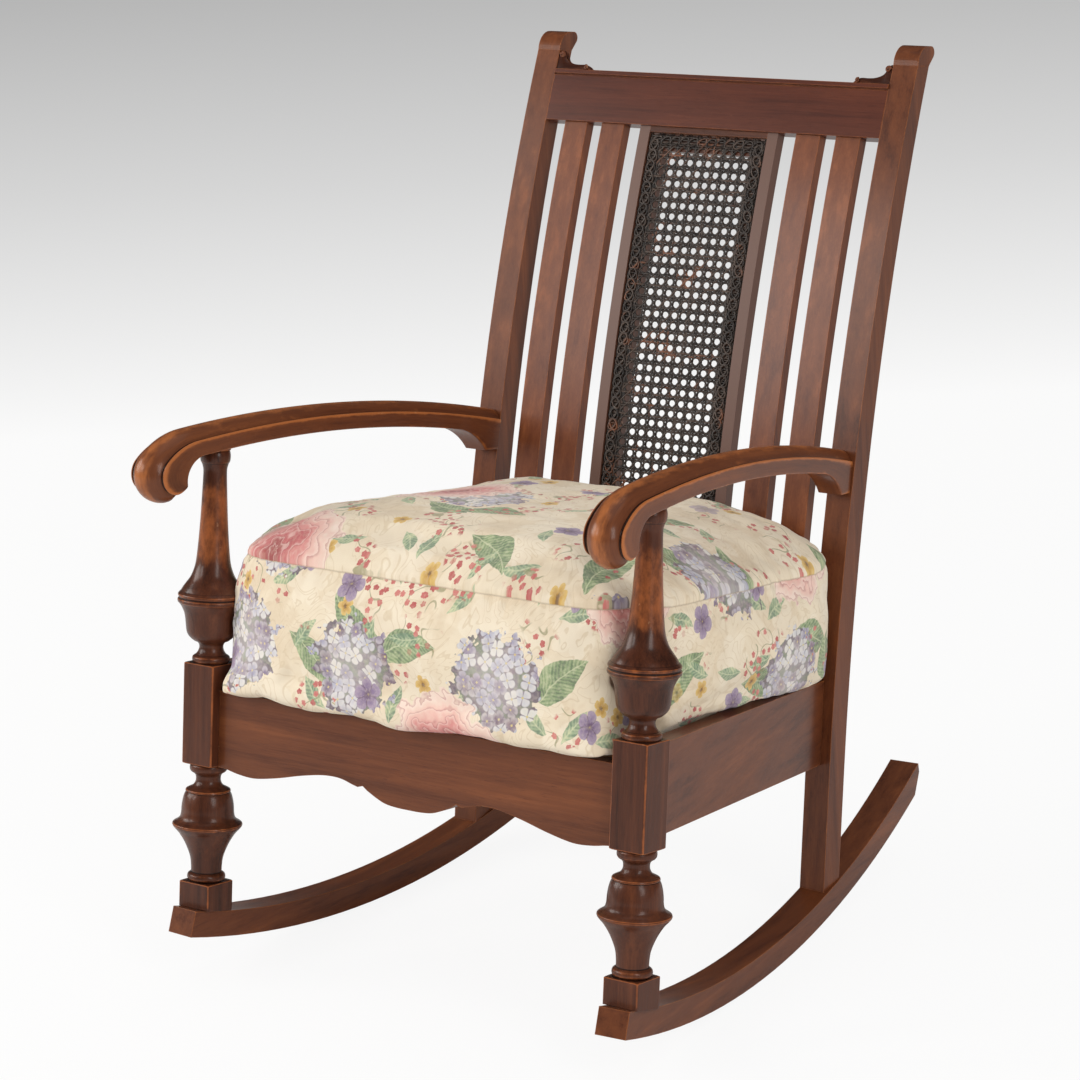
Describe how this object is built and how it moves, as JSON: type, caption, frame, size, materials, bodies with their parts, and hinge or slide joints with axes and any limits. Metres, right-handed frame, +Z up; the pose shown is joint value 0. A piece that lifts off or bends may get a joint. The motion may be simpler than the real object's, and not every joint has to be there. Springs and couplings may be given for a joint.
{
  "type": "rocking chair",
  "caption": "Wooden rocking chair with turned front posts, scrolled arms, a slatted back with a caned panel, bow runners and a deep loose cushion.",
  "frame": {"origin": "on the floor under the middle of the chair's bounding box, with the chair at rest on its runners", "axes": "+Z up, +Y to the back of the chair, +X to the right as seen from the front; left and right in the nodes' names are as seen from the front"},
  "size_m": [0.6726, 0.7878, 0.9863],
  "materials": {
    "mahogany": "satin",
    "dark_wood": "satin",
    "cane_frame": "satin",
    "cane": "satin",
    "raw_wood": "matte",
    "fabric": "matte"
  },
  "bodies": {
    "frame": {"runner_left": "mahogany", "runner_right": "mahogany", "front_post_left": "mahogany", "front_post_right": "mahogany", "rear_post_left": "mahogany", "rear_post_right": "mahogany", "arm_left": "mahogany", "arm_right": "mahogany", "front_apron": "mahogany", "side_rail_left": "mahogany", "side_rail_right": "mahogany", "rear_seat_rail": "dark_wood", "lower_back_rail": "dark_wood", "crest_rail": "mahogany", "crest_scroll_left": "mahogany", "crest_scroll_right": "mahogany", "back_slat_1": "mahogany", "back_slat_2": "mahogany", "back_slat_3": "mahogany", "back_slat_4": "mahogany", "cane_stile_left": "cane_frame", "cane_stile_right": "cane_frame", "cane_top_rail": "cane_frame", "cane_bottom_rail": "cane_frame", "cane_panel": "cane", "seat_cleat_left": "raw_wood", "seat_cleat_right": "raw_wood", "seat_slats": "raw_wood", "corner_block_1": "raw_wood", "corner_block_2": "raw_wood", "corner_block_3": "raw_wood", "corner_block_4": "raw_wood", "rail_dowels": "raw_wood", "back_dowels": "raw_wood", "runner_dowels": "raw_wood"},
    "cushion": {"cushion": "fabric"}
  },
  "joints": [
    {"name": "cushion_lift", "type": "slide", "parent": "frame", "child": "cushion", "axis": [0, -0.1495, 0.9888], "range_m": [0, 0.018]}
  ]
}
